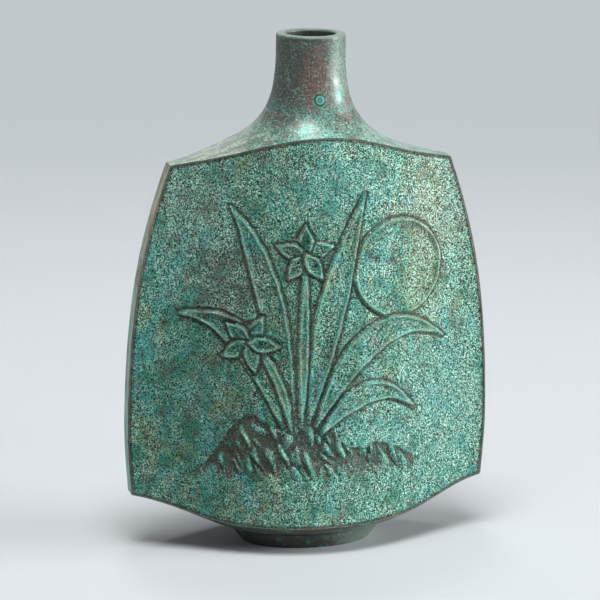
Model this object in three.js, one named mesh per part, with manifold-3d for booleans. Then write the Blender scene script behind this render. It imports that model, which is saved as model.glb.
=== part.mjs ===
// A flat copper-alloy flower vase: two bulged face panels and two narrow side walls, closed above by a
// trumpet-shaped shoulder with a round neck, and below by a shallow dished underside with an oval foot.
// Millimetres, +Z up, the front panel faces -Y, the origin is at the middle of the foot's flat bottom.
import * as THREE from "three";
import { mergeVertices } from "three/addons/utils/BufferGeometryUtils.js";
import Module from "manifold-3d";

// Overall sizes. Heights from the foot are called Z, and depths are taken down from the mouth's rim.
const TOTAL_HEIGHT = 270;
const SHEET = 3; // wall of the panels, sides, shoulder and underside
const SEAM = 0.3; // brazing clearance between neighbouring pieces

// The body's plan: two straight side walls, joined by panels that bulge like a flattened bell
const SIDE_DEPTH = 11; // front to back across a side wall
const BULGE_LOW = 32.5; // how far a panel's middle stands out past the side wall, at the bottom corners
const BULGE_HIGH = 27; // and at the top corners
const BULGE_SHARPNESS = 1.6; // exponent of the bell
const CORNER_LOW_Z = 29;
const CORNER_DEPTH = 67; // of the upper corners below the mouth's rim
const CORNER_HIGH_Z = TOTAL_HEIGHT - CORNER_DEPTH;

// The side walls' outline as a curve through (half width, height), from below the corners to above them
const SIDE_CURVE = [
  [93, 0],
  [95.3, 29],
  [97.2, 58],
  [96.7, 87],
  [94.8, 116],
  [91, 145],
  [84.5, 174],
  [75.2, 203],
  [63, 232],
];

// The neck, and the shoulder's outline as a curve through (radius, depth), from its corner to the neck
const NECK_RADIUS = 18;
const NECK_WALL = 5.2;
const NECK_LENGTH = 15; // of the straight neck, above the flare
const LIP_ROUNDING = 1.1;
const SPIGOT_LENGTH = 6;
const SPIGOT_WALL = 1.8;
const NECK_JOINT_DEPTH = 39; // of the brazed joint between shoulder and neck
const NECK_JOINT_Z = TOTAL_HEIGHT - NECK_JOINT_DEPTH;
const SHOULDER_CURVE = [
  [88, 68],
  [70, 65.1],
  [54, 61.1],
  [41, 55.6],
  [31, 48.8],
  [24, 40.3],
  [20, 30.4],
  [NECK_RADIUS, NECK_LENGTH],
];

// The two round plugs that close the casting's pin holes in the root of the neck, front and back
const PLUG_RADIUS = 2.8;
const PLUG_RISE = 7; // of the plugs' middle above the joint
const PLUG_Z = NECK_JOINT_Z + PLUG_RISE;

// The oval foot, and the underside's outline as a curve through (half length, height)
const FOOT_LENGTH = 41.5; // half the foot's length along X, at its top
const FOOT_TAPER = 6; // how far the foot draws in towards the ground
const FOOT_HEIGHT = 8.4;
const FOOT_WALL = 5;
const FOOT_EDGE = 0.8; // chamfer at the ground
const FOOT_ROUNDNESS = 1.48; // length over width of the foot and of the dish that runs out of it
const UNDERSIDE_CURVE = [
  [112, 31.2],
  [96, 29.6],
  [78, 24.6],
  [61, 16.6],
  [49, 11],
  [FOOT_LENGTH, FOOT_HEIGHT],
];

// The base plate, let into the foot from below
const PLATE_THICKNESS = 2.5;
const PLATE_RECESS = 2; // the plate's underside above the ground
const LEDGE_WIDTH = 2; // the step in the foot that the plate seats on

// The relief on the front panel: orchids, and a full moon behind their leaves. Places are [x, z] from the
// middle of the panel, on a field that is fitted between the heights of the corners.
const RELIEF_FIELD = 174;
const RELIEF_CREST = 1.5; // how far the rims of the forms stand out
const RELIEF_RIB = 0.4; // and how far a leaf's middle does
const RELIEF_FLANK = 0.8; // width of the slope outside a rim
const RELIEF_ROOT = 1.5; // how deep the forms are rooted in the panel's metal
const FORM_FULLNESS = 0.85; // below 1 a leaf is widest nearer to its root
const FORM_TAPER = 1.15; // exponent that draws out a leaf's ends
const MOON_PLACE = [42, 34];
const MOON_RADIUS = 25;
const LEAVES = [
  { root: [-22, -46], bend: [-36, 16], tip: [-72, 12], half: 6.2 },
  { root: [-16, -44], bend: [-28, 42], tip: [-46, 68], half: 5.8 },
  { root: [-8, -44], bend: [4, 28], tip: [22, 74], half: 6.8 },
  { root: [-4, -46], bend: [26, 24], tip: [70, -6], half: 6.8 },
  { root: [-1, -50], bend: [26, -14], tip: [52, -42], half: 5 },
];
const STALKS = [
  { root: [-12, -46], bend: [-10, 4], tip: [-10, 46], half: 2 },
  { root: [-17, -48], bend: [-22, -16], tip: [-38, 0], half: 1.8 },
];
const BLOSSOMS = [
  { middle: [-10, 44], turn: 18 },
  { middle: [-38, -2], turn: 65 },
];
const PETALS = 5;
const PETAL_LENGTH = 15;
const PETAL_HALF_WIDTH = 3.4;

// How finely the surfaces are faceted
const ACROSS_STEPS = 36;
const UP_STEPS = 18;
const SIDE_STEPS = 2;
const FLARE_STEPS = 12;
const FLARE_CROWDING = 1.6; // draws the shoulder's steps together towards the neck
const DISH_STEPS = 7;
const ROOT_STEPS = 5;
const LIP_STEPS = 3;
const TURNED_SIDES = 56;
const PLUG_SIDES = 24;
const LEAF_STEPS = 9;
const PETAL_STEPS = 3;
const MOON_SIDES = 40;
const FORM_REACH = 0.94; // share of a form's length between its first and last section

const patina = new THREE.MeshStandardMaterial({ color: 0x5b9080, roughness: 0.72, metalness: 0.45 });
const waxedPatina = new THREE.MeshStandardMaterial({ color: 0x6d8a7d, roughness: 0.35, metalness: 0.6 });
const darkBronze = new THREE.MeshStandardMaterial({ color: 0x3d4a40, roughness: 0.5, metalness: 0.7 });
const rawBronze = new THREE.MeshStandardMaterial({ color: 0x6d5440, roughness: 0.55, metalness: 0.8 });

const wasm = await Module();
wasm.setup();

const sideProfile = smoothProfile(SIDE_CURVE);
const shoulderPoints = SHOULDER_CURVE.map(([radius, depth]) => [radius, TOTAL_HEIGHT - depth]);
const shoulderProfile = smoothProfile(shoulderPoints);
const undersideProfile = smoothProfile(UNDERSIDE_CURVE);
const jointRadius = along(shoulderProfile, "y", NECK_JOINT_Z, "x");

function smoothProfile(points) {
  return new THREE.CatmullRomCurve3(points.map(([reach, height]) => new THREE.Vector3(reach, height, 0)));
}

// The other coordinate of a smooth profile where its coordinate `key` has the given value
function along(profile, key, value, wanted) {
  const halvings = 40;
  const rising = profile.getPoint(1)[key] > profile.getPoint(0)[key];
  let low = 0;
  let high = 1;
  for (let step = 0; step < halvings; step++) {
    const middle = (low + high) / 2;
    const isShort = profile.getPoint(middle)[key] < value;
    if (isShort === rising) low = middle;
    else high = middle;
  }
  return profile.getPoint((low + high) / 2)[wanted];
}

// The half width of the body at a height, less an inset into the metal
function halfWidth(z, inset) {
  return along(sideProfile, "y", z, "x") - inset;
}

// How far a panel stands from the middle plane, at a share of the half width and a height
function halfDepth(share, z, inset) {
  const rise = (z - CORNER_LOW_Z) / (CORNER_HIGH_Z - CORNER_LOW_Z);
  const bulge = BULGE_LOW + (BULGE_HIGH - BULGE_LOW) * rise;
  return SIDE_DEPTH / 2 - inset + bulge * Math.pow(1 - share * share, BULGE_SHARPNESS);
}

// The height of the shoulder or of the underside over a point, less an inset into the metal
function shoulderHeight(x, y, inset) {
  return along(shoulderProfile, "x", Math.hypot(x, y), "y") - inset;
}

function undersideHeight(x, y, inset) {
  return along(undersideProfile, "x", Math.hypot(x, y * FOOT_ROUNDNESS), "y") + inset;
}

// Where a wall's upright line meets the shoulder or the underside
function arrisPoint(place, height, startZ, inset) {
  const rounds = 12;
  let z = startZ;
  for (let round = 0; round < rounds; round++) {
    const point = place(z, inset);
    z = height(point.x, point.y, inset);
  }
  return place(z, inset);
}

// The upright line of a panel or of a side wall at a share of the way across
function panelPlace(share, facing) {
  const depth = (z, inset) => facing * halfDepth(share, z, inset);
  return (z, inset) => new THREE.Vector3(share * halfWidth(z, inset), depth(z, inset), z);
}

function sidePlace(share, facing) {
  const width = (z, inset) => facing * halfWidth(z, inset);
  return (z, inset) => new THREE.Vector3(width(z, inset), share * (SIDE_DEPTH / 2 - inset), z);
}

// A solid between an outer and an inner sheet of points, each given as rows of equal length
function thickPatch(outer, inner, closedRows) {
  const rows = outer.length;
  const columns = outer[0].length;
  const positions = [...outer.flat(), ...inner.flat()].flatMap((point) => [point.x, point.y, point.z]);
  const outerAt = (row, column) => row * columns + (column % columns);
  const innerAt = (row, column) => rows * columns + outerAt(row, column);
  const triangles = [];
  const quad = (a, b, c, d) => triangles.push(a, b, c, a, c, d);
  const top = rows - 1;
  const spans = closedRows ? columns : columns - 1;
  for (let column = 0; column < spans; column++) {
    const next = column + 1;
    for (let row = 0; row < top; row++) {
      const above = row + 1;
      quad(outerAt(row, column), outerAt(row, next), outerAt(above, next), outerAt(above, column));
      quad(innerAt(row, column), innerAt(above, column), innerAt(above, next), innerAt(row, next));
    }
    quad(innerAt(0, column), innerAt(0, next), outerAt(0, next), outerAt(0, column));
    quad(outerAt(top, column), outerAt(top, next), innerAt(top, next), innerAt(top, column));
  }
  if (!closedRows) {
    const last = columns - 1;
    for (let row = 0; row < top; row++) {
      const above = row + 1;
      quad(innerAt(row, 0), outerAt(row, 0), outerAt(above, 0), innerAt(above, 0));
      quad(outerAt(row, last), innerAt(row, last), innerAt(above, last), outerAt(above, last));
    }
  }
  const geometry = new THREE.BufferGeometry();
  geometry.setAttribute("position", new THREE.Float32BufferAttribute(positions, 3));
  geometry.setIndex(triangles);
  geometry.computeVertexNormals();
  return geometry;
}

// A wall's sheet of points from the bottom arris up to the top one, with a seam left open at each end
function wallRows(placeAt, shares, inset) {
  const lines = shares.map((share) => {
    const place = placeAt(share);
    const low = arrisPoint(place, undersideHeight, CORNER_LOW_Z, inset).z + SEAM;
    const high = arrisPoint(place, shoulderHeight, CORNER_HIGH_Z, inset).z - SEAM;
    return { place, low, high };
  });
  return Array.from({ length: UP_STEPS + 1 }, (_, step) =>
    lines.map(({ place, low, high }) => place(low + ((high - low) * step) / UP_STEPS, inset)),
  );
}

// Even steps from -1 to 1, with the first and last held back to a limit
function evenShares(steps, limit) {
  const shares = Array.from({ length: steps + 1 }, (_, step) => (2 * step) / steps - 1);
  return shares.map((share) => THREE.MathUtils.clamp(share, -limit, limit));
}

function mesh(name, geometry, material) {
  const made = new THREE.Mesh(geometry, material);
  made.name = name;
  return made;
}

function wall(name, placeAt, shares) {
  const outer = wallRows(placeAt, shares, 0);
  const inner = wallRows(placeAt, shares, SHEET);
  return mesh(name, thickPatch(outer, inner, false), patina);
}

// A face panel: facing is -1 for the front and +1 for the back
function panel(name, facing) {
  const limit = 1 - SEAM / halfWidth(CORNER_HIGH_Z, 0);
  const shares = evenShares(ACROSS_STEPS, limit).map((share) => -facing * share);
  return wall(name, (share) => panelPlace(share, facing), shares);
}

// A side wall: facing is -1 for the left and +1 for the right
function sideWall(name, facing) {
  const limit = 1 - SEAM / SIDE_DEPTH;
  const shares = evenShares(SIDE_STEPS, limit).map((share) => facing * share);
  return wall(name, (share) => sidePlace(share, facing), shares);
}

// The closed line of corners round the body where the walls meet the shoulder or the underside
function arrisLoop(height, startZ, inset) {
  const across = evenShares(ACROSS_STEPS, 1).slice(0, -1);
  const deep = evenShares(SIDE_STEPS, 1).slice(0, -1);
  const places = [
    ...across.map((share) => panelPlace(share, -1)),
    ...deep.map((share) => sidePlace(share, 1)),
    ...across.map((share) => panelPlace(-share, 1)),
    ...deep.map((share) => sidePlace(-share, -1)),
  ];
  return places.map((place) => arrisPoint(place, height, startZ, inset));
}

// The shoulder: a trumpet from the arris in to the neck joint
function shoulder() {
  const sheetRows = (inset) => {
    const loop = arrisLoop(shoulderHeight, CORNER_HIGH_Z, inset);
    const innermost = jointRadius - inset;
    return Array.from({ length: FLARE_STEPS + 1 }, (_, step) => {
      const share = 1 - Math.pow(1 - step / FLARE_STEPS, FLARE_CROWDING);
      return loop.map((corner) => {
        const reach = Math.hypot(corner.x, corner.y);
        const radius = reach + (innermost - reach) * share;
        const surfaceRadius = radius + inset * share;
        const surface = along(shoulderProfile, "x", surfaceRadius, "y") - inset * (1 - share);
        const z = Math.min(surface, NECK_JOINT_Z - SEAM / 2);
        return new THREE.Vector3((corner.x * radius) / reach, (corner.y * radius) / reach, z);
      });
    });
  };
  return mesh("shoulder", thickPatch(sheetRows(0), sheetRows(SHEET), true), waxedPatina);
}

// A ring or disc turned from an outline of (radius, height), squeezed front to back by a roundness
function turned(outline, roundness) {
  const points = outline.map(([radius, z]) => new THREE.Vector2(radius, z));
  const lathe = new THREE.LatheGeometry(points, TURNED_SIDES);
  lathe.rotateX(Math.PI / 2);
  lathe.scale(1, 1 / roundness, 1);
  return lathe;
}

// A quarter round of the lip, from the neck's wall up on to its flat top
function lipRound(radius, turn) {
  return Array.from({ length: LIP_STEPS + 1 }, (_, step) => {
    const angle = (turn < 0 ? 1 - step / LIP_STEPS : step / LIP_STEPS) * (Math.PI / 2);
    const inward = LIP_ROUNDING * (1 - Math.cos(angle));
    return [radius - turn * inward, TOTAL_HEIGHT - LIP_ROUNDING * (1 - Math.sin(angle))];
  });
}

// The neck: a straight tube whose flared root carries a spigot that drops into the shoulder
function neckTube() {
  const bore = NECK_RADIUS - NECK_WALL;
  const spigot = jointRadius - SHEET - SEAM;
  const rootZ = NECK_JOINT_Z + SEAM / 2;
  const flareTopZ = TOTAL_HEIGHT - NECK_LENGTH;
  const root = Array.from({ length: ROOT_STEPS + 1 }, (_, step) => {
    const z = rootZ + ((flareTopZ - rootZ) * step) / ROOT_STEPS;
    return [along(shoulderProfile, "y", z, "x"), z];
  });
  return turned(
    [
      [spigot - SPIGOT_WALL, NECK_JOINT_Z - SPIGOT_LENGTH],
      [spigot, NECK_JOINT_Z - SPIGOT_LENGTH],
      [spigot, rootZ],
      ...root,
      ...lipRound(NECK_RADIUS, 1),
      ...lipRound(bore, -1),
      [bore, flareTopZ],
      [spigot - SPIGOT_WALL, NECK_JOINT_Z - SPIGOT_LENGTH],
    ],
    1,
  );
}

function solidOf(geometry) {
  const bare = geometry.clone();
  bare.deleteAttribute("normal");
  bare.deleteAttribute("uv");
  const merged = mergeVertices(bare);
  return new wasm.Manifold(
    new wasm.Mesh({
      numProp: 3,
      vertProperties: merged.attributes.position.array,
      triVerts: Uint32Array.from(merged.index.array),
    }),
  );
}

function geometryOf(solid) {
  const { vertProperties, triVerts } = solid.getMesh();
  const geometry = new THREE.BufferGeometry();
  geometry.setAttribute("position", new THREE.BufferAttribute(Float32Array.from(vertProperties), 3));
  geometry.setIndex(Array.from(triVerts));
  geometry.computeVertexNormals();
  return geometry;
}

// A round bar through the neck's wall: facing is -1 for the front and +1 for the back
function pinBar(radius, facing) {
  const bar = new THREE.CylinderGeometry(radius, radius, jointRadius, PLUG_SIDES);
  bar.translate(0, (facing * jointRadius) / 2, PLUG_Z);
  return bar;
}

// The neck with its two pin holes, and the plugs that fill them flush with its surface
function neckPieces() {
  const tube = solidOf(neckTube());
  const bar = (radius, facing) => solidOf(pinBar(radius, facing));
  const pierced = tube.subtract(bar(PLUG_RADIUS + SEAM, -1)).subtract(bar(PLUG_RADIUS + SEAM, 1));
  return [
    mesh("neck", geometryOf(pierced), waxedPatina),
    mesh("neck_plug_front", geometryOf(tube.intersect(bar(PLUG_RADIUS, -1))), waxedPatina),
    mesh("neck_plug_back", geometryOf(tube.intersect(bar(PLUG_RADIUS, 1))), waxedPatina),
  ];
}

// A place on the relief's field, at a height above the front panel's surface
function reliefPoint([across, up], height) {
  const scale = (CORNER_HIGH_Z - CORNER_LOW_Z) / RELIEF_FIELD;
  const x = across * scale;
  const z = (CORNER_LOW_Z + CORNER_HIGH_Z) / 2 + up * scale;
  const depth = (x, z) => halfDepth(x / halfWidth(z, 0), z, 0);
  const probe = RELIEF_FLANK / 2;
  const leanX = depth(x - probe, z) - depth(x + probe, z);
  const leanZ = depth(x, z - probe) - depth(x, z + probe);
  const outward = new THREE.Vector3(leanX, -2 * probe, leanZ).normalize();
  return new THREE.Vector3(x, -depth(x, z), z).addScaledVector(outward, height);
}

// A shallow solid from rows of places on the relief's field, with a height for each row or each column
function reliefSolid(rows, heightAt, closedRows) {
  const outer = rows.map((places, row) =>
    places.map((place, column) => reliefPoint(place, heightAt(row, column))),
  );
  const inner = rows.map((places) => places.map((place) => reliefPoint(place, -RELIEF_ROOT)));
  return solidOf(thickPatch(outer, inner, closedRows));
}

// A leaf, stalk or petal: two rims along its edges with a hollow between them
function reliefForm({ root, bend, tip, half }, steps) {
  const [start, middle, end] = [root, bend, tip].map(([x, z]) => new THREE.Vector2(x, z));
  const curve = new THREE.QuadraticBezierCurve(start, middle, end);
  const shares = evenShares(steps, FORM_REACH).map((share) => (share + 1) / 2);
  const rows = shares.map((share) => {
    const place = curve.getPoint(share);
    const heading = curve.getTangent(share);
    const rim = half * Math.sin(Math.PI * share ** FORM_FULLNESS) ** FORM_TAPER;
    const reaches = [-rim - RELIEF_FLANK, -rim, 0, rim, rim + RELIEF_FLANK];
    return reaches.map((reach) => [place.x + heading.y * reach, place.y - heading.x * reach]);
  });
  const heights = [-RELIEF_RIB, RELIEF_CREST, RELIEF_RIB, RELIEF_CREST, -RELIEF_RIB];
  return reliefSolid(rows, (row, column) => heights[column], false);
}

function blossomPetals({ middle, turn }) {
  return Array.from({ length: PETALS }, (_, number) => {
    const angle = THREE.MathUtils.degToRad(turn + (360 * number) / PETALS);
    const placeAt = (reach) => [middle[0] + Math.cos(angle) * reach, middle[1] + Math.sin(angle) * reach];
    return { root: middle, bend: placeAt(PETAL_LENGTH / 2), tip: placeAt(PETAL_LENGTH), half: PETAL_HALF_WIDTH };
  });
}

// The moon's raised rim
function moonRim() {
  const angles = Array.from({ length: MOON_SIDES }, (_, side) => (2 * Math.PI * side) / MOON_SIDES);
  const radii = [1, 0, -1, -2].map((flanks) => MOON_RADIUS + flanks * RELIEF_FLANK);
  const heights = [-RELIEF_RIB, RELIEF_CREST, RELIEF_CREST, -RELIEF_RIB];
  const rows = radii.map((radius) =>
    angles.map((angle) => [MOON_PLACE[0] + Math.cos(angle) * radius, MOON_PLACE[1] + Math.sin(angle) * radius]),
  );
  return reliefSolid(rows, (row) => heights[row], true);
}

// The front panel with its relief cast on
function frontPanel() {
  const forms = [
    moonRim(),
    ...[...LEAVES, ...STALKS].map((form) => reliefForm(form, LEAF_STEPS)),
    ...BLOSSOMS.flatMap(blossomPetals).map((petal) => reliefForm(petal, PETAL_STEPS)),
  ];
  const plain = solidOf(panel("front_panel", -1).geometry);
  return mesh("front_panel", geometryOf(forms.reduce((solid, form) => solid.add(form), plain)), patina);
}

// The underside: a shallow dish from the arris in to the foot, on which its flat inner rim rests
function underside() {
  const sheetRows = (inset) => {
    const loop = arrisLoop(undersideHeight, CORNER_LOW_Z, inset);
    return Array.from({ length: DISH_STEPS + 1 }, (_, step) =>
      loop.map((corner) => {
        const reach = Math.hypot(corner.x, corner.y * FOOT_ROUNDNESS);
        const radius = reach + ((FOOT_LENGTH - FOOT_WALL - reach) * step) / DISH_STEPS;
        const x = (corner.x * radius) / reach;
        const y = (corner.y * radius) / reach;
        const rim = FOOT_HEIGHT + SEAM + inset;
        const z = radius < FOOT_LENGTH ? rim : Math.max(undersideHeight(x, y, inset), rim);
        return new THREE.Vector3(x, y, z);
      }),
    );
  };
  return mesh("underside", thickPatch(sheetRows(SHEET), sheetRows(0), true), patina);
}

// The oval foot ring, stepped inside for the base plate
function footRing() {
  const foot = FOOT_LENGTH - FOOT_TAPER;
  const inside = foot - FOOT_WALL;
  const ledge = PLATE_RECESS + PLATE_THICKNESS + SEAM;
  const outline = [
    [inside + LEDGE_WIDTH, 0],
    [foot - FOOT_EDGE, 0],
    [foot, FOOT_EDGE],
    [FOOT_LENGTH, FOOT_HEIGHT],
    [inside, FOOT_HEIGHT],
    [inside, ledge],
    [inside + LEDGE_WIDTH, ledge],
    [inside + LEDGE_WIDTH, 0],
  ];
  return mesh("foot_ring", turned(outline, FOOT_ROUNDNESS), darkBronze);
}

// The flat plate that closes the bottom
function basePlate() {
  const reach = FOOT_LENGTH - FOOT_TAPER - FOOT_WALL + LEDGE_WIDTH - SEAM;
  const outline = [
    [0, PLATE_RECESS],
    [reach, PLATE_RECESS],
    [reach, PLATE_RECESS + PLATE_THICKNESS],
    [0, PLATE_RECESS + PLATE_THICKNESS],
  ];
  return mesh("base_plate", turned(outline, FOOT_ROUNDNESS), rawBronze);
}

const vase = new THREE.Group();
vase.add(
  frontPanel(),
  panel("back_panel", 1),
  sideWall("left_side_wall", -1),
  sideWall("right_side_wall", 1),
  shoulder(),
  ...neckPieces(),
  underside(),
  footRing(),
  basePlate(),
);

export default vase;
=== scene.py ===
# A flat cast copper-alloy flower vase with a green patina, laid out as an add-on and run as a script.
# Lengths are in metres. The vase faces -Y and stands on z = 0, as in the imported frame.
import math

import bpy
from mathutils import Matrix, Vector, kdtree, noise


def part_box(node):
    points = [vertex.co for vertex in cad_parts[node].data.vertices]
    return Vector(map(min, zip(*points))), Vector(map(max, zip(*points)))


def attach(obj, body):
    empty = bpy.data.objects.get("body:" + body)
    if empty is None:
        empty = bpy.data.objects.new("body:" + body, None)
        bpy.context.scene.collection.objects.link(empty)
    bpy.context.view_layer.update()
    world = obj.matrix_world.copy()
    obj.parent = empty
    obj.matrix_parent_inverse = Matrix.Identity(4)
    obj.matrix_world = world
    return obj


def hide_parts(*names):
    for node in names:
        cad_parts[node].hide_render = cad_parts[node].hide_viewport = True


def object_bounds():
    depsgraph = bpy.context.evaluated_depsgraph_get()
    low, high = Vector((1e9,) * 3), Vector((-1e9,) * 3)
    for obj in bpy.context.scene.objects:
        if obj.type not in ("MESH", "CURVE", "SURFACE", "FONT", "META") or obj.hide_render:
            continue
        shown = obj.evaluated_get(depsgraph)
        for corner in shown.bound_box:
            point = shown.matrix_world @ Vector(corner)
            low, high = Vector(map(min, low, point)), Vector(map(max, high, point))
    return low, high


bl_info = {
    "name": "Patinated flat vase",
    "version": (1, 0, 0),
    "blender": (4, 5, 0),
    "location": "3D View > Sidebar > Vase",
    "description": "Models and finishes a cast flat flower vase, its patina, its stage and its light",
    "category": "Object",
}

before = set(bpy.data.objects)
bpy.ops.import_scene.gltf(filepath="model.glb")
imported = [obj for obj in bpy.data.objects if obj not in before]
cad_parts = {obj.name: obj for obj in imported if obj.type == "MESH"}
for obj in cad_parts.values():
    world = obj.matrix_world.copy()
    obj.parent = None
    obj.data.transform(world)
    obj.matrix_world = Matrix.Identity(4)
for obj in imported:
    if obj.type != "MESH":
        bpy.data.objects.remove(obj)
CAD_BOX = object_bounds()
MM = 0.001

FRONT, BACK = -1, 1
MERGE = 0.001 * MM  # the CAD triangles' corners lie on each other to this distance
LEVEL = 0.02 * MM  # corners whose heights differ by less lie in one ring
CREASED = math.radians(35)  # edges that turn more than this stay sharp
SMOOTHED = math.radians(50)  # edges that turn less than this are shaded as one surface
PAIR_FLAT, PAIR_SQUARE = math.radians(30), math.radians(60)  # how uneven a merged face may be
LOOKS_UP, LOOKS_AWAY, LOOKS_ASIDE, LOOKS_OUT = 0.2, 0.3, 0.4, 0.5  # least share of a face's normal
WALL = 3 * MM  # of the body's sheets
SEAM = 0.3 * MM  # between neighbouring CAD pieces
ARRIS_CUTS = 4  # a rim is cut this often, and its outermost strip gives the arris its radius
ARRIS_RADIUS = WALL / (ARRIS_CUTS + 1)
ARRIS_ROUNDNESS = 3
TURNED_STEPS = 64  # round a turned piece
PANEL_CUTS_UP, PANEL_CUTS_ACROSS = 3, 1  # of a panel's smoothed edges, to carry the grain
DRILL_SIDES, DRILL_REACH = 48, 1.6  # a drill is this many times as long as its plug
PLUG_GROWTH = 0.8 * SEAM  # by which a plug fills its seam
PLUG_BEVEL = 0.25 * MM


class VaseSizes(bpy.types.PropertyGroup):
    """How deep the casting's surface is worked"""

    grain_size: bpy.props.FloatProperty(
        name="Grain size", description="From one cast grain to the next", subtype="DISTANCE",
        unit="LENGTH", default=0.95 * MM,
    )
    grain_depth: bpy.props.FloatProperty(
        name="Grain depth", description="From the top of a grain to the pit beside it",
        subtype="DISTANCE", unit="LENGTH", default=0.4 * MM,
    )
    crest: bpy.props.FloatProperty(
        name="Crest", description="How far the relief's lines stand up", subtype="DISTANCE",
        unit="LENGTH", default=1.5 * MM,
    )
    groove: bpy.props.FloatProperty(
        name="Groove", description="How deep the relief is cut beside its lines",
        subtype="DISTANCE", unit="LENGTH", default=0.8 * MM,
    )
    border: bpy.props.FloatProperty(
        name="Border", description="Smooth margin between the grain and an arris",
        subtype="DISTANCE", unit="LENGTH", default=0.9 * MM,
    )


class VaseColours(bpy.types.PropertyGroup):
    """Colours of the metal and its patina, as linear values"""

    mint: bpy.props.FloatVectorProperty(
        name="Mint", description="Pale crust on the high grains", subtype="COLOR",
        size=3, min=0, max=1, default=(0.56, 0.9, 0.74),
    )
    verdigris: bpy.props.FloatVectorProperty(
        name="Verdigris", description="Green body of the patina", subtype="COLOR",
        size=3, min=0, max=1, default=(0.035, 0.31, 0.205),
    )
    turquoise: bpy.props.FloatVectorProperty(
        name="Turquoise", description="Bluer patches of the patina", subtype="COLOR",
        size=3, min=0, max=1, default=(0.08, 0.48, 0.42),
    )
    olive: bpy.props.FloatVectorProperty(
        name="Olive", description="Yellower patches of the patina", subtype="COLOR",
        size=3, min=0, max=1, default=(0.29, 0.42, 0.2),
    )
    film: bpy.props.FloatVectorProperty(
        name="Film", description="Thin grey-green skin on burnished metal", subtype="COLOR",
        size=3, min=0, max=1, default=(0.26, 0.38, 0.31),
    )
    tan: bpy.props.FloatVectorProperty(
        name="Tan", description="Rubbed skin near the upper corners", subtype="COLOR",
        size=3, min=0, max=1, default=(0.47, 0.42, 0.3),
    )
    drab: bpy.props.FloatVectorProperty(
        name="Drab", description="Grey-brown patches of thin patina", subtype="COLOR",
        size=3, min=0, max=1, default=(0.14, 0.135, 0.105),
    )
    russet: bpy.props.FloatVectorProperty(
        name="Russet", description="Red-brown metal showing through", subtype="COLOR",
        size=3, min=0, max=1, default=(0.16, 0.085, 0.065),
    )
    charcoal: bpy.props.FloatVectorProperty(
        name="Charcoal", description="Dark waxed metal", subtype="COLOR",
        size=3, min=0, max=1, default=(0.053, 0.061, 0.055),
    )
    umber: bpy.props.FloatVectorProperty(
        name="Umber", description="Brown metal in pits and hollows", subtype="COLOR",
        size=3, min=0, max=1, default=(0.02, 0.028, 0.02),
    )
    bare: bpy.props.FloatVectorProperty(
        name="Bare bronze", description="Metal where the patina is worn away", subtype="COLOR",
        size=3, min=0, max=1, default=(0.45, 0.36, 0.28),
    )


class VaseStage(bpy.types.PropertyGroup):
    """Where the camera stands and how it is turned"""

    distance: bpy.props.FloatProperty(
        name="Distance", description="From the vase's axis to the camera, level",
        subtype="DISTANCE", unit="LENGTH", default=1500 * MM,
    )
    height: bpy.props.FloatProperty(
        name="Height", description="Camera above the floor", subtype="DISTANCE", unit="LENGTH",
        default=481.3 * MM,
    )
    side: bpy.props.FloatProperty(
        name="Side angle", description="How far the camera stands to the left of the front",
        subtype="ANGLE", unit="ROTATION", default=math.radians(14.06),
    )
    tilt: bpy.props.FloatProperty(
        name="Tilt", description="How far the camera looks down", subtype="ANGLE", unit="ROTATION",
        default=math.radians(13.23),
    )
    roll: bpy.props.FloatProperty(
        name="Roll", description="Turn of the camera about its own line of sight",
        subtype="ANGLE", unit="ROTATION", default=math.radians(0.59),
    )
    offset: bpy.props.FloatProperty(
        name="Offset", description="Camera to the left of the line through the axis",
        subtype="DISTANCE", unit="LENGTH", default=4.18 * MM,
    )
    lens: bpy.props.FloatProperty(
        name="Lens", description="Focal length", subtype="DISTANCE_CAMERA", default=176.1,
    )


# Selecting and modelling


def only(*objects):
    """Select these objects alone, the last one active"""
    bpy.ops.object.select_all(action="DESELECT")
    for item in objects:
        item.select_set(True)
    bpy.context.view_layer.objects.active = objects[-1]


def choose(piece, kind, test):
    """Enter edit mode with just those vertices, edges or polygons selected that pass a test"""
    only(piece)
    bpy.ops.object.mode_set(mode="EDIT")
    bpy.ops.mesh.select_mode(type={"vertices": "VERT", "edges": "EDGE", "polygons": "FACE"}[kind])
    bpy.ops.mesh.select_all(action="DESELECT")
    bpy.ops.object.mode_set(mode="OBJECT")
    for item in getattr(piece.data, kind):
        item.select = test(item)
    bpy.ops.object.mode_set(mode="EDIT")


def leave_edit():
    """Go back to object mode"""
    bpy.ops.object.mode_set(mode="OBJECT")


def modify(piece, kind, **settings):
    """Put a modifier on a piece and apply it"""
    modifier = piece.modifiers.new(kind.lower(), kind)
    for name, value in settings.items():
        setattr(modifier, name, value)
    only(piece)
    bpy.ops.object.modifier_apply(modifier=modifier.name)


def copy_node(node, name):
    """A CAD node's shape as a new piece, with its loose triangles merged into four-sided faces"""
    piece = bpy.data.objects.new(name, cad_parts[node].data.copy())
    piece.data.name = name
    piece.data.materials.clear()
    bpy.context.scene.collection.objects.link(piece)
    choose(piece, "vertices", lambda vertex: True)
    bpy.ops.mesh.remove_doubles(threshold=MERGE)
    bpy.ops.mesh.tris_convert_to_quads(face_threshold=PAIR_FLAT, shape_threshold=PAIR_SQUARE)
    leave_edit()
    return piece


def plain_panel(facing, name):
    """A face panel without relief: the back one, which is mirrored to make the front one"""
    piece = copy_node("back_panel", name)
    if facing == FRONT:
        choose(piece, "vertices", lambda vertex: True)
        bpy.ops.transform.mirror(constraint_axis=(False, True, False), center_override=(0, 0, 0))
        bpy.ops.mesh.flip_normals()
        leave_edit()
    return piece


def crease(piece):
    """Keep a piece's sharp edges sharp when it is smoothed"""
    choose(piece, "edges", lambda edge: False)
    bpy.ops.mesh.edges_select_sharp(sharpness=CREASED)
    bpy.ops.transform.edge_crease(value=1)
    leave_edit()


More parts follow.
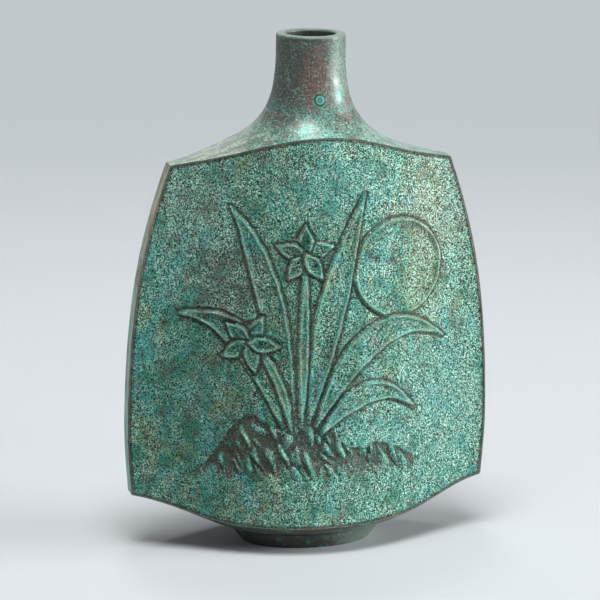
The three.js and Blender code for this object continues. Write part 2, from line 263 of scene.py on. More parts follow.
def smooth(piece, levels):
    """Subdivide a piece into a smooth surface that keeps its sharp edges"""
    crease(piece)
    modify(piece, "SUBSURF", levels=levels, render_levels=levels)


def radial(vector, place):
    """The part of a direction that points away from the vase's axis"""
    flat = Vector((place.x, place.y, 0))
    return vector.dot(flat.normalized())


def corners(piece, test):
    """The numbers of the vertices round those faces that pass a test"""
    return {v for face in piece.data.polygons if test(face) for v in face.vertices}


def finish(piece, material, slot, *nodes):
    """Shade a piece, give it its material and hang it in the frame, in place of its CAD nodes"""
    only(piece)
    bpy.ops.object.shade_smooth_by_angle(angle=SMOOTHED)
    piece.data.materials.clear()
    piece.data.materials.append(material)
    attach(piece, "root")
    if nodes:
        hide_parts(*nodes)


def store(piece, name, values):
    """Keep a number for each vertex, which the piece's material reads"""
    attribute = piece.data.attributes.new(name, "FLOAT", "POINT")
    attribute.data.foreach_set("value", values)


def displace(piece, heights):
    """Move each vertex along its normal by its height"""
    for name, side in (("raised", 1), ("sunk", -1)):
        reach = max(max(side * height for height in heights), MERGE)
        group = piece.vertex_groups.new(name=name)
        for index, height in enumerate(heights):
            if side * height > 0:
                group.add([index], side * height / reach, "REPLACE")
        modify(piece, "DISPLACE", vertex_group=name, strength=side * reach, mid_level=0)
        piece.vertex_groups.clear()


def ease(value, low, high):
    """0 below low, 1 above high, and a smooth rise between"""
    share = min(max((value - low) / (high - low), 0), 1)
    return share * share * (3 - 2 * share)


# The relief on the front: orchids growing from a rock, and a full moon behind their leaves.
# Places are (x, z) in millimetres from the middle of the panel.

RELIEF_MIDDLE = 116
MOON_PLACE, MOON_RADIUS = (42, 34), 25

# Each leaf as its root, bend and tip, and half its width
LEAVES = (
    ((-22, -46), (-36, 16), (-72, 12), 6.2),
    ((-16, -44), (-28, 42), (-46, 68), 5.8),
    ((-8, -44), (4, 28), (22, 74), 6.8),
    ((-4, -46), (26, 24), (70, -6), 6.8),
    ((-1, -50), (26, -14), (52, -42), 5),
)
STALKS = (
    ((-12, -46), (-10, 4), (-10, 46), 2),
    ((-17, -48), (-22, -16), (-38, 0), 1.8),
)
BLOSSOMS = ((-10, 44, 18), (-38, -2, 65))  # each as its middle and its turn in degrees
PETALS, PETAL_LENGTH, PETAL_HALF_WIDTH = 5, 15, 3.4
FORM_SAMPLES = 60
BELLY_PLACE, BELLY_FULLNESS = 0.85, 1.15  # powers that set where a form is widest and how pointed

# The profile across a form's edge: its flank, the groove cut beside it, its rim and its middle rib
FLANK_WIDTH, CUT_PLACE, CUT_WIDTH = 0.6 * MM, 1.6 * MM, 1 * MM
RIM_WIDTH, RIB_WIDTH = 1.2 * MM, 0.7 * MM
RIB_SHARE, FLOOR_SHARE = 0.5, 0.3  # of the crest in a rib, and of the groove inside a form
FORM_CLEAR, FORM_REACH = 1.8 * MM, 3.4 * MM  # a form's groove fades out between these distances
HAND_WOBBLE, WOBBLE_SIZE = 0.5 * MM, 6 * MM  # how unsteadily the lines are cut

# The rock's crest as mounds, each with its middle, height above the rock's foot and reach
ROCK_FOOT = -76
ROCK_MOUNDS = ((-38, 36, 19), (-4, 30, 16), (32, 18, 22))
ROCK_EDGE = (-0.7, 0.9)  # how the strokes begin across the crest
ROCK_FADE = (-4, 12)  # and how they fade in from the foot
RAGGED_SIZE, RAGGED_RISE = 5, 2.5
STROKE_LEAN = math.radians(24)
STROKE_WIDTH, STROKE_LENGTH = 4.2, 13
STROKE_BEND, STROKE_BENDS = 0.6, 0.7
STROKE_RISE, STROKE_SINK = 1.9, 0.8  # as shares of the crest
STROKE_FLANK = (0, 0.5)

# How far apart the three noises lie that make up a wavering direction
WAVER_APART = ((9.3, -1.5, -8), (2.7, 13.9, 5.1), (-7.4, 3.3, 17.6))

# The cast grain, in grain sizes: how its cells are bent, its pebbles and the swell under them
GRAIN_BEND, GRAIN_BENDS = 0.7, 2.2
PEBBLE_SLOPE, PEBBLE_SHARE = 1.25, 0.75
SWELL_SIZE, SWELL_SHARE = 3.1, 0.35
GRAIN_LOSS = 0.5  # of the grain's depth, on the relief's lines and in its grooves
GRAIN_LOSS_RANGE = (0.3, 0.9)  # of the crest's height


def petals():
    """The blossoms' petals, in the same terms as the leaves"""
    for x, z, turn in BLOSSOMS:
        for number in range(PETALS):
            angle = math.radians(turn + 360 * number / PETALS)
            reach = Vector((math.cos(angle), math.sin(angle))) * PETAL_LENGTH
            middle = Vector((x, z))
            yield (middle, middle + reach / 2, middle + reach, PETAL_HALF_WIDTH)


def form_points(form):
    """Points down the middle of a leaf, stalk or petal, each with half the form's width there"""
    root, bend, tip = (Vector(place) * MM for place in form[:3])
    points = []
    for step in range(FORM_SAMPLES + 1):
        share = step / FORM_SAMPLES
        place = root.lerp(bend, share).lerp(bend.lerp(tip, share), share)
        belly = max(math.sin(math.pi * share**BELLY_PLACE), 0) ** BELLY_FULLNESS
        points.append((place, form[3] * MM * belly))
    return points


def waver(place):
    """A direction that turns smoothly from place to place, the same on every run"""
    return Vector([noise.noise(place + Vector(apart)) for apart in WAVER_APART])


def bell(distance, width):
    """1 in the middle, and next to nothing beyond twice the width"""
    return math.exp(-((distance / width) ** 2))


def form_height(outside, half_width, sizes):
    """A form's height at a distance outside its edge, which is negative inside it"""
    if outside > 0:
        cut = bell(outside - CUT_PLACE, CUT_WIDTH)
        return sizes.crest * bell(outside, FLANK_WIDTH) - sizes.groove * cut
    rim = bell(outside, RIM_WIDTH)
    rib = RIB_SHARE * bell(outside + half_width, RIB_WIDTH)
    return sizes.crest * (rim + rib * (1 - rim)) - FLOOR_SHARE * sizes.groove * (1 - rim)


def rock_height(place, sizes):
    """The rock's height at a place: strokes of a chisel under a ragged crest"""
    x, z = place / MM
    above_foot = z - ROCK_FOOT
    crest = sum(rise * bell(x - middle, reach) for middle, rise, reach in ROCK_MOUNDS)
    crest += noise.noise(Vector((x / RAGGED_SIZE, 0, 3))) * RAGGED_RISE
    inside = ease(crest - above_foot, *ROCK_EDGE) * ease(above_foot, *ROCK_FADE)
    if inside == 0:
        return 0
    across = x * math.cos(STROKE_LEAN) + z * math.sin(STROKE_LEAN)
    along = z * math.cos(STROKE_LEAN) - x * math.sin(STROKE_LEAN)
    stroke = Vector((across / STROKE_WIDTH, along / STROKE_LENGTH, 0))
    stroke += waver(stroke * STROKE_BENDS) * STROKE_BEND
    nearest, second = noise.voronoi(stroke)[0][:2]
    ridge = STROKE_RISE * ease(second - nearest, *STROKE_FLANK) * (1 - nearest / 2)
    return inside * sizes.crest * (ridge - STROKE_SINK)


def relief(piece, chosen, sizes):
    """Heights of the rock, the moon and the plants at a front panel's chosen vertices"""
    middle = Vector((0, RELIEF_MIDDLE)) * MM
    places, heights = {}, {}
    for index in chosen:
        point = piece.data.vertices[index].co
        places[index] = point.xz - middle + waver(point / WOBBLE_SIZE).xz * HAND_WOBBLE
        heights[index] = rock_height(places[index], sizes)

    def lay(index, outside, half_width):
        """Lay a form over what is there, with its groove fading out"""
        if outside < FORM_REACH:
            height = form_height(outside, half_width, sizes)
            share = ease(-outside, -FORM_REACH, -FORM_CLEAR)
            heights[index] += (height - heights[index]) * share

    for index, place in places.items():
        outside = (place - Vector(MOON_PLACE) * MM).length - MOON_RADIUS * MM
        lay(index, outside, MOON_RADIUS * MM)
    for form in (*LEAVES, *STALKS, *petals()):
        points = form_points(form)
        tree = kdtree.KDTree(len(points))
        for number, (place, half_width) in enumerate(points):
            tree.insert(place.to_3d(), number)
        tree.balance()
        for index, place in places.items():
            nearest, number, distance = tree.find(place.to_3d())
            half_width = points[number][1]
            lay(index, distance - half_width, half_width)
    return heights


def grain(place, size):
    """The cast skin's height at a place, from 0 in a pit to 1 on a grain"""
    warped = place / size + waver(place / (GRAIN_BENDS * size)) * GRAIN_BEND
    nearest = noise.voronoi(warped)[0][0]
    pebble = 1 - min(nearest * PEBBLE_SLOPE, 1)
    swell = noise.noise(place / (SWELL_SIZE * size)) * 0.5 + 0.5
    return min(max(PEBBLE_SHARE * pebble + SWELL_SHARE * swell, 0), 1)


def outer_faces(facing):
    """A test for the faces on a panel's outer side"""
    return lambda face: face.normal.y * facing > LOOKS_OUT


def fine_panel(facing, name):
    """A face panel whose outer side is divided finely enough to carry the cast grain"""
    piece = plain_panel(facing, name)
    smooth(piece, 2)
    outer = corners(piece, outer_faces(facing))

    def upright(edge):
        """Whether an edge of the outer side runs up more than across"""
        start, end = (piece.data.vertices[index].co for index in edge.vertices)
        return outer.issuperset(edge.vertices) and abs(end.z - start.z) > abs(end.x - start.x)

    choose(piece, "edges", upright)
    bpy.ops.mesh.subdivide(number_cuts=PANEL_CUTS_UP)
    leave_edit()
    outer = corners(piece, outer_faces(facing))
    choose(piece, "edges", lambda edge: outer.issuperset(edge.vertices) and not upright(edge))
    bpy.ops.mesh.subdivide(number_cuts=PANEL_CUTS_ACROSS)
    leave_edit()
    return piece


def cast_skin(piece, facing, sizes):
    """Work the relief and the grain into a fine panel, and keep what its material reads"""
    vertices = piece.data.vertices
    is_outer = outer_faces(facing)
    chosen = corners(piece, is_outer)
    edge = chosen & corners(piece, lambda face: not is_outer(face))
    rim = kdtree.KDTree(len(edge))
    for index in edge:
        rim.insert(vertices[index].co, index)
    rim.balance()
    carved = relief(piece, chosen, sizes) if facing == FRONT else dict.fromkeys(chosen, 0.0)
    heights, grains, carving, margin = ([0.0] * len(vertices) for _ in range(4))
    for index in chosen:
        place = vertices[index].co
        margin[index] = rim.find(place)[2]
        carving[index] = carved[index] / sizes.crest
        grains[index] = grain(place, sizes.grain_size)
        loss = GRAIN_LOSS * ease(abs(carving[index]), *GRAIN_LOSS_RANGE)
        pit = sizes.grain_depth * (grains[index] - 1) * (1 - loss)
        heights[index] = ease(margin[index], 0, sizes.border) * (pit + carved[index])
    store(piece, "grain", grains)
    store(piece, "carving", carving)
    store(piece, "margin", margin)
    displace(piece, heights)


class VASE_OT_panels(bpy.types.Operator):
    """Model the two pebbled face panels, the front one with its relief"""

    bl_idname = "vase.panels"
    bl_label = "Face panels"

    def execute(self, context):
        material = pebbled_patina(context.scene.vase_colours)
        for node, facing in (("front_panel", FRONT), ("back_panel", BACK)):
            piece = fine_panel(facing, "cast_" + node)
            cast_skin(piece, facing, context.scene.vase_sizes)
            finish(piece, material, "green_patina", node)
        return {"FINISHED"}


class VASE_OT_side_walls(bpy.types.Operator):
    """Model the two narrow side walls"""

    bl_idname = "vase.side_walls"
    bl_label = "Side walls"

    def execute(self, context):
        material = side_patina(context.scene.vase_colours)
        for node in ("left_side_wall", "right_side_wall"):
            piece = copy_node(node, "cast_" + node)
            smooth(piece, 3)
            finish(piece, material, "green_patina", node)
        return {"FINISHED"}


class VASE_OT_shoulder(bpy.types.Operator):
    """Model the trumpet-shaped shoulder"""

    bl_idname = "vase.shoulder"
    bl_label = "Shoulder"

    def execute(self, context):
        piece = copy_node("shoulder", "cast_shoulder")
        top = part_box("shoulder")[1].z
        choose(piece, "vertices", lambda vertex: vertex.co.z > top - MERGE)
        bpy.ops.transform.translate(value=(0, 0, SEAM / 2))
        leave_edit()
        smooth(piece, 2)
        finish(piece, shoulder_patina(context.scene.vase_colours), "burnished_patina", "shoulder")
        return {"FINISHED"}


def turned_piece(node, name, levels):
    """A turned CAD node's outline in the XZ plane, spun about the axis and smoothed"""
    piece = copy_node(node, name)
    choose(piece, "vertices", lambda vertex: abs(vertex.co.y) > MERGE or vertex.co.x < -MERGE)
    bpy.ops.mesh.delete(type="VERT")
    bpy.ops.mesh.select_all(action="SELECT")
    bpy.ops.mesh.spin(steps=TURNED_STEPS, angle=2 * math.pi, center=(0, 0, 0), axis=(0, 0, 1))
    bpy.ops.mesh.select_all(action="SELECT")
    bpy.ops.mesh.remove_doubles(threshold=MERGE)
    bpy.ops.mesh.normals_make_consistent(inside=False)
    low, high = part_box(node)
    bpy.ops.transform.resize(value=(1, (high.y - low.y) / (high.x - low.x), 1))
    leave_edit()
    smooth(piece, levels)
    return piece


def drill_hole(neck, node):
    """Cut a plug's hole in the neck's wall, wider than the plug by a seam all round"""
    low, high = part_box(node)
    only(neck)
    bpy.ops.mesh.primitive_cylinder_add(
        vertices=DRILL_SIDES, radius=(high.x - low.x) / 2 + SEAM,
        depth=(high.y - low.y) * DRILL_REACH,
        location=(low + high) / 2, rotation=(math.pi / 2, 0, 0),
    )
    drill = bpy.context.object
    modify(neck, "BOOLEAN", operation="DIFFERENCE", object=drill)
    bpy.data.objects.remove(drill)


def set_plug(node, material):
    """Make a plug that nearly fills its hole, with an eased edge"""
    low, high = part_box(node)
    radius = (high.x - low.x) / 2
    plug = copy_node(node, "set_" + node)
    choose(plug, "vertices", lambda vertex: True)
    spread = (radius + PLUG_GROWTH) / radius
    bpy.ops.transform.resize(value=(spread, 1, spread), center_override=(low + high) / 2)
    leave_edit()
    crease(plug)
    modify(
        plug, "BEVEL", width=PLUG_BEVEL, segments=2, limit_method="ANGLE", angle_limit=CREASED,
    )
    finish(plug, material, "burnished_patina", node)


class VASE_OT_neck(bpy.types.Operator):
    """Turn the neck, drill its pin holes and set the plugs in them"""

    bl_idname = "vase.neck"
    bl_label = "Neck and plugs"

    def execute(self, context):
        colours = context.scene.vase_colours
        neck = turned_piece("neck", "turned_neck", 2)
        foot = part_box("shoulder")[1].z + SEAM
        choose(neck, "vertices", lambda vertex: abs(vertex.co.z - foot) < LEVEL)
        bpy.ops.transform.translate(value=(0, 0, -SEAM / 2))
        leave_edit()
        plug_height = sum(corner.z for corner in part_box("neck_plug_front")) / 2 / MM
        for node in ("neck_plug_front", "neck_plug_back"):
            drill_hole(neck, node)
            set_plug(node, plug_patina(colours, plug_height))
        finish(neck, neck_patina(colours, plug_height), "burnished_patina", "neck")
        return {"FINISHED"}


class VASE_OT_underside(bpy.types.Operator):
    """Model the dished underside"""

    bl_idname = "vase.underside"
    bl_label = "Underside"

    def execute(self, context):
        piece = copy_node("underside", "cast_underside")
        smooth(piece, 2)
        material = dark_patina("underside_patina", context.scene.vase_colours, 0.3)
        finish(piece, material, "green_patina", "underside")
        return {"FINISHED"}


class VASE_OT_foot(bpy.types.Operator):
    """Turn the oval foot ring and the base plate"""

    bl_idname = "vase.foot"
    bl_label = "Foot"

    def execute(self, context):
        colours = context.scene.vase_colours
        ring = turned_piece("foot_ring", "oval_foot_ring", 2)
        finish(ring, dark_patina("foot_patina", colours, 0.25), "dark_bronze", "foot_ring")
        plate = turned_piece("base_plate", "let_in_base_plate", 1)
        finish(plate, dark_patina("plate_patina", colours, 0.1), "raw_bronze", "base_plate")
        return {"FINISHED"}


def arris_bead(piece, is_outer, is_rim):
    """Turn a wall into a round bead along its rim's outer edge, where it eases the arris"""
    rim = {face.index for face in piece.data.polygons if is_rim(face)}
    rim_edges = [key for index in rim for key in piece.data.polygons[index].edge_keys]
    choose(piece, "edges", lambda edge: rim_edges.count(edge.key) == 2)
    bpy.ops.mesh.subdivide(number_cuts=ARRIS_CUTS)
    leave_edit()
    outer = corners(piece, is_outer)
    line = corners(piece, lambda face: is_rim(face) and outer & set(face.vertices)) - outer
    choose(piece, "vertices", lambda vertex: vertex.index not in line)
    bpy.ops.mesh.delete(type="VERT")
    leave_edit()
    only(piece)
    bpy.ops.object.convert(target="CURVE")
    piece = bpy.context.object
    piece.data.bevel_depth = ARRIS_RADIUS
    piece.data.bevel_resolution = ARRIS_ROUNDNESS
    piece.data.use_fill_caps = True
    bpy.ops.object.convert(target="MESH")
    return bpy.context.object


class VASE_OT_arrises(bpy.types.Operator):
    """Ease the arrises between the walls with thin worn beads, whose pale line is partly a painted
    highlight
    """

    bl_idname = "vase.arrises"
    bl_label = "Arrises"

    def execute(self, context):
        material = worn_bronze(context.scene.vase_colours)
        beads = []
        for node, name, side in (("shoulder", "upper_arris", 1), ("underside", "lower_arris", -1)):
            level = arris_bead(
                copy_node(node, name), lambda face: face.normal.z * side > LOOKS_UP,
                lambda face: face.normal.z * side < -LOOKS_UP
                and radial(face.normal, face.center) > LOOKS_AWAY,
            )
            beads.append(level)
        for name, facing in (("front_upright_arrises", FRONT), ("back_upright_arrises", BACK)):
            uprights = arris_bead(
                plain_panel(facing, name), outer_faces(facing),
                lambda face: abs(face.normal.x) > LOOKS_ASIDE
                and face.normal.y * facing < -LOOKS_AWAY,
            )
            beads.append(uprights)
        for bead in beads:
            finish(bead, material, "raw_bronze")
        return {"FINISHED"}


# Finishes

# Each patch as its colour's name, its middle and reach in millimetres, and its strength
FACE_PATCHES = (
    ("olive", (58, 0, 150), (16, 0, 55), 0.8),
    ("tan", (66, 0, 184), (28, 0, 40), 0.5),
    ("film", (-66, 0, 186), (26, 0, 26), 0.5),
    ("turquoise", (12, 0, 62), (40, 0, 22), 0.7),
    ("turquoise", (8, 0, 196), (30, 0, 14), 0.7),
)
FACE_PATCHES_ABOVE = (  # over the drab clouds
    ("drab", (-48, 0, 145), (24, 0, 30), 0.7),
    # Partly darker patina and partly painted shade: this umber patch darkens the panel's lower left,
    # which turns away from the light
    ("umber", (-62, 0, 70), (34, 0, 60), 0.25),
    ("turquoise", (72, 0, 62), (34, 0, 66), 0.5),
)
NECK_PATCHES = (
    # The film patch on the neck's right is partly a grey-green skin and partly a painted highlight of
    # the light from the right
    ("film", (14, -12, 250), (14, 14, 26), 0.45),
    ("russet", (-2, -19, 247), (9, 12, 24), 0.8),
    ("russet", (17, -12, 236), (6, 8, 8), 0.6),
    ("turquoise", (12, -18, 240), (4, 8, 6), 0.4),
)
SHOULDER_PATCHES = (
    ("film", (48, 0, 210), (32, 60, 60), 0.8),
    ("charcoal", (-20, 0, 232), (11, 40, 13), 0.8),
    ("charcoal", (21, 0, 232), (9, 40, 12), 0.8),
)
PATCH_RAGGED = 2.2  # how far a patch's edge breaks up
BORE_REACH = (13.4, 13.4, 0)  # the mouth's bore and a plug, in millimetres
PLUG_REACH = (2.9, 0, 2.9)


class Finish:
    """A material's node tree, with short ways to add textures and join them"""

    def __init__(self, name):
        self.material = bpy.data.materials.new(name)
        self.material.use_nodes = True
        self.tree = self.material.node_tree
        self.shader = self.tree.nodes["Principled BSDF"]
        self.place = self.add("ShaderNodeTexCoord").outputs["Object"]

    def add(self, kind, **settings):
        """A new node with its settings"""
        node = self.tree.nodes.new(kind)
        for name, value in settings.items():
            setattr(node, name, value)
        return node

    def put(self, socket, value):
        """Join an output to a socket, or set the socket to a number or colour"""
        if isinstance(value, bpy.types.NodeSocket):
            self.tree.links.new(value, socket)
        elif isinstance(value, (int, float)):
            socket.default_value = value
        else:
            socket.default_value = (*value, 1)

    def moved(self, centre, scale):
        """The place on the piece, measured from a centre and scaled along each axis"""
        mapping = self.add("ShaderNodeMapping")
        self.put(mapping.inputs["Vector"], self.place)
        mapping.inputs["Scale"].default_value = scale
        shift = [-size * place for size, place in zip(scale, centre)]
        mapping.inputs["Location"].default_value = shift
        return mapping.outputs["Vector"]

    def noise(self, size, detail=3, roughness=0.55, distortion=0, stretch=(1, 1, 1)):
        """Noise from 0 to 1 whose lumps have the given size"""
        texture = self.add("ShaderNodeTexNoise")
        scale = [1 / (size * share) for share in stretch]
        self.put(texture.inputs["Vector"], self.moved((0, 0, 0), scale))
        texture.inputs["Scale"].default_value = 1
        texture.inputs["Detail"].default_value = detail
        texture.inputs["Roughness"].default_value = roughness
        texture.inputs["Distortion"].default_value = distortion
        return texture.outputs["Fac"]

    def between(self, value, low, high, blend="SMOOTHSTEP"):
        """0 where a value is at low, 1 at high, whichever of the two is larger"""
        node = self.add("ShaderNodeMapRange", interpolation_type=blend)
        self.put(node.inputs["Value"], value)
        node.inputs["From Min"].default_value = low
        node.inputs["From Max"].default_value = high
        return node.outputs["Result"]

    def maths(self, operation, first, second):
        """The result of one sum on two values"""
        node = self.add("ShaderNodeMath", operation=operation)
        self.put(node.inputs[0], first)
        self.put(node.inputs[1], second)
        return node.outputs["Value"]

    def blend(self, first, share, second):
        """The sum of two values, the second one multiplied by a share"""
        return self.maths("ADD", first, self.maths("MULTIPLY", second, share))

    def paint(self, under, over, mask, strength=1.0):
        """One colour laid over another where a mask is 1"""
        node = self.add("ShaderNodeMix", data_type="RGBA")
        self.put(node.inputs["Factor"], self.maths("MULTIPLY", mask, strength))
        self.put(node.inputs[6], under)
        self.put(node.inputs[7], over)
        return node.outputs[2]

    def reach(self, centre, radii):
        """Distance from a centre as a share of the radii; an axis with no radius doesn't count"""
        length = self.add("ShaderNodeVectorMath", operation="LENGTH")
        scale = [1 / (radius * MM) if radius else 0 for radius in radii]
        self.put(length.inputs[0], self.moved(Vector(centre) * MM, scale))
        return length.outputs["Value"]

    def patch(self, centre, radii):
        """A mask that is 1 round a centre and breaks up towards the radii"""
        broken = self.noise(4 * MM, detail=7, roughness=0.7)
        edge = self.blend(self.reach(centre, radii), PATCH_RAGGED, broken)
        return self.between(edge, 1.1 + PATCH_RAGGED / 2, 0.4 + PATCH_RAGGED / 2)

    def patches(self, under, colours, rows):
        """A colour with patches laid over it one after another"""
        for name, centre, radii, strength in rows:
            under = self.paint(under, getattr(colours, name), self.patch(centre, radii), strength)
        return under

    def band(self, low, high):
        """A mask that rises from 0 to 1 between two heights in millimetres"""
        height = self.add("ShaderNodeSeparateXYZ")
        self.put(height.inputs["Vector"], self.place)
        return self.between(height.outputs["Z"], low * MM, high * MM)

    def attribute(self, name):
        """A number that the piece keeps for each vertex"""
        return self.add("ShaderNodeAttribute", attribute_name=name).outputs["Fac"]

    def bump(self, height, depth, strength=1.0):
        """Fine unevenness that is too small to model"""
        node = self.add("ShaderNodeBump")
        node.inputs["Strength"].default_value = strength
        node.inputs["Distance"].default_value = depth
        self.put(node.inputs["Height"], height)
        self.put(self.shader.inputs["Normal"], node.outputs["Normal"])

    def wax(self):
        """A thin clear coat, as on burnished and waxed metal"""
        self.shader.inputs["Coat Weight"].default_value = 0.25
        self.shader.inputs["Coat Roughness"].default_value = 0.22

    def done(self, colour, rough, metallic):
        """Set the shader's main values and hand the material over"""
        self.put(self.shader.inputs["Base Color"], colour)
        self.put(self.shader.inputs["Roughness"], rough)
        self.put(self.shader.inputs["Metallic"], metallic)
        return self.material


def pebbled_patina(colours):
    """Cast grain: pale tops, green slopes and dark pits, in drifting patches, browner at the arrises.
    The darker lower left and paler right are partly painted shade and painted light, the mint on the
    relief's crests and the pale rims are partly painted highlights, and the brown by the arrises is
    partly painted shade
    """
    skin = Finish("pebbled_patina")
    speckle = skin.noise(0.65 * MM, detail=2, roughness=0.5, distortion=0.8)
    speckle = skin.between(speckle, 0.4, 0.6, "LINEAR")
    height = skin.blend(skin.maths("MULTIPLY", speckle, 0.7), 0.35, skin.attribute("grain"))
    upright = (1, 1, 1.7)
    drift = skin.noise(13 * MM, detail=5, stretch=upright)
    olive = skin.noise(10 * MM, detail=6, distortion=1, stretch=upright)
    drab = skin.noise(7 * MM, detail=6, distortion=0.6, stretch=upright)
    fleck = skin.noise(2.2 * MM, detail=4, roughness=0.6)
    body = skin.paint(colours.verdigris, colours.turquoise, skin.between(drift, 0.47, 0.63))
    body = skin.paint(body, colours.olive, skin.between(olive, 0.5, 0.66), 0.7)
    body = skin.patches(body, colours, FACE_PATCHES)
    body = skin.paint(body, colours.drab, skin.between(drab, 0.5, 0.66), 0.7)
    body = skin.patches(body, colours, FACE_PATCHES_ABOVE)
    body = skin.paint(body, colours.turquoise, skin.between(fleck, 0.57, 0.64), 0.8)
    body = skin.paint(body, colours.russet, skin.between(fleck, 0.42, 0.34), 0.7)
    crust = skin.between(skin.noise(9 * MM, detail=5), 0.3, 0.6)
    # Less crust at the lower left: partly thinner patina, partly painted shade on the side turned away
    # from the light
    crust = skin.blend(crust, -0.5, skin.patch((-62, 0, 75), (40, 0, 90)))
    # More crust to the right: partly paler patina, partly painted light on the side that faces the light
    crust = skin.blend(crust, 0.2, skin.patch((74, 0, 110), (52, 0, 150)))
    tops = skin.maths("MULTIPLY", skin.between(height, 0.6, 0.9), crust)
    colour = skin.paint(body, colours.umber, skin.between(height, 0.52, 0.28), 0.95)
    colour = skin.paint(colour, colours.mint, tops)
    carving = skin.attribute("carving")
    colour = skin.paint(colour, body, skin.between(carving, 0.15, 0.5), 0.6)
    # Mint along the relief's crests: partly pale crust, partly a painted highlight on the raised lines
    crest = skin.maths("MULTIPLY", skin.between(carving, 0.45, 0.95), speckle)
    colour = skin.paint(colour, colours.mint, crest, 0.7)
    colour = skin.paint(colour, colours.russet, skin.between(carving, -0.18, -0.35), 0.5)
    colour = skin.paint(colour, colours.umber, skin.between(carving, -0.2, -0.5), 0.45)
    margin = skin.attribute("margin")
    # Brown band inside the panel's rim: partly patina, partly painted shade at the arris. Then a pale
    # bare edge: partly wear, partly a painted highlight
    colour = skin.paint(colour, colours.umber, skin.between(margin, 2.2 * MM, 0.9 * MM), 0.8)
    colour = skin.paint(colour, colours.bare, skin.between(margin, 0.7 * MM, 0.2 * MM), 0.3)
    skin.bump(speckle, 0.5 * MM)
    return skin.done(colour, skin.between(height, 1.3, 0.3, "LINEAR"), 0.1)


def neck_patina(colours, plug_height):
    """Waxed charcoal metal: brown in front, a pale green film to the right that is partly a painted
    highlight, a speckled foot
    """
    skin = Finish("neck_patina")
    fine = skin.noise(1 * MM, detail=3, roughness=0.7)
    cloud = skin.noise(6 * MM, detail=6, roughness=0.65)
    fleck = skin.between(skin.blend(fine, 0.8, cloud), 0.97, 1.1)
    colour = skin.paint(colours.charcoal, colours.drab, skin.between(cloud, 0.45, 0.65), 0.5)
    colour = skin.patches(colour, colours, NECK_PATCHES)
    colour = skin.paint(colour, colours.verdigris, fleck, 0.8)
    foot = skin.blend(skin.noise(0.7 * MM, detail=3), 0.2, skin.band(241, 231))
    colour = skin.paint(colour, colours.turquoise, skin.between(foot, 0.68, 0.8), 0.7)
    colour = skin.paint(colour, colours.umber, skin.between(fine, 0.5, 0.4), 0.8)
    colour = skin.paint(colour, colours.film, skin.between(fine, 0.55, 0.65), 0.5)
    # Dark brown inside the mouth: partly the bore's own metal, partly painted shade in the bore
    bore_metal_and_shade = skin.between(skin.reach((0, 0, 0), BORE_REACH), 1.03, 1)
    colour = skin.paint(colour, colours.umber, bore_metal_and_shade, 0.8)
    ring = skin.reach((0, 0, plug_height), PLUG_REACH)
    halo = skin.maths("MULTIPLY", skin.between(ring, 0.95, 1.05), skin.between(ring, 1.5, 1.15))
    halo = skin.maths("MULTIPLY", halo, skin.between(fine, 0.35, 0.6))
    colour = skin.paint(colour, colours.verdigris, halo, 0.8)
    rim = skin.maths("MULTIPLY", skin.band(268.6, 269.3), cloud)
    colour = skin.paint(colour, colours.film, rim, 0.6)
    skin.bump(skin.blend(fine, 0.5, cloud), 0.1 * MM, 0.7)
    skin.wax()
    return skin.done(colour, skin.between(cloud, 0.1, 0.8, "LINEAR"), 0.15)


def plug_patina(colours, plug_height):
    """Charcoal metal with a turquoise ring round a pale middle that is partly a painted glint"""
    skin = Finish("plug_patina")
    fine = skin.noise(0.5 * MM, detail=3, roughness=0.7)
    ring = skin.blend(skin.reach((0, 0, plug_height), PLUG_REACH), 0.3, fine)
    halo = skin.maths("MULTIPLY", skin.between(ring, 0.98, 0.85), skin.between(ring, 0.45, 0.65))
    colour = skin.paint(colours.charcoal, colours.turquoise, halo, 0.7)
    # Pale middle of the plug: partly pale crust, partly a painted glint on its head
    colour = skin.paint(colour, colours.mint, skin.between(ring, 0.4, 0.25), 0.35)
    colour = skin.paint(colour, colours.umber, skin.between(ring, 1, 1.1), 0.5)
    skin.bump(fine, 0.1 * MM, 0.7)
    return skin.done(colour, 0.4, 0.4)


def shoulder_patina(colours):
    """Waxed streaked skin: tan left, pale green right, dark under the neck, turquoise specks in front"""
    skin = Finish("shoulder_patina")
    fine = skin.noise(1.1 * MM, detail=3, roughness=0.7)
    streak = skin.noise(4 * MM, detail=5, roughness=0.6, stretch=(2.5, 1, 1))
    colour = skin.paint(colours.verdigris, colours.film, skin.between(streak, 0.34, 0.56), 0.8)
    colour = skin.paint(colour, colours.tan, skin.patch((-58, 0, 208), (38, 60, 60)), 0.4)
    colour = skin.paint(colour, colours.umber, skin.between(streak, 0.56, 0.44), 0.65)
    colour = skin.paint(colour, colours.verdigris, skin.between(streak, 0.48, 0.36), 0.7)
    colour = skin.patches(colour, colours, SHOULDER_PATCHES)
    colour = skin.paint(colour, colours.charcoal, skin.band(221, 231), 0.75)
    colour = skin.paint(colour, colours.russet, skin.patch((10, -22, 226), (9, 12, 10)), 0.6)
    speck = skin.blend(skin.noise(0.7 * MM, detail=3), 0.2, skin.patch((0, -30, 222), (24, 24, 14)))
    colour = skin.paint(colour, colours.turquoise, skin.between(speck, 0.64, 0.76), 0.7)
    drab = skin.noise(6 * MM, detail=6, stretch=(2, 1, 1))
    colour = skin.paint(colour, colours.drab, skin.between(drab, 0.5, 0.62), 0.8)
    colour = skin.paint(colour, colours.umber, skin.between(fine, 0.5, 0.4), 0.85)
    colour = skin.paint(colour, colours.mint, skin.between(fine, 0.56, 0.66), 0.4)
    skin.bump(skin.blend(fine, 0.3, streak), 0.12 * MM, 0.8)
    skin.wax()
    return skin.done(colour, skin.between(fine, 0.05, 1.1, "LINEAR"), 0.15)


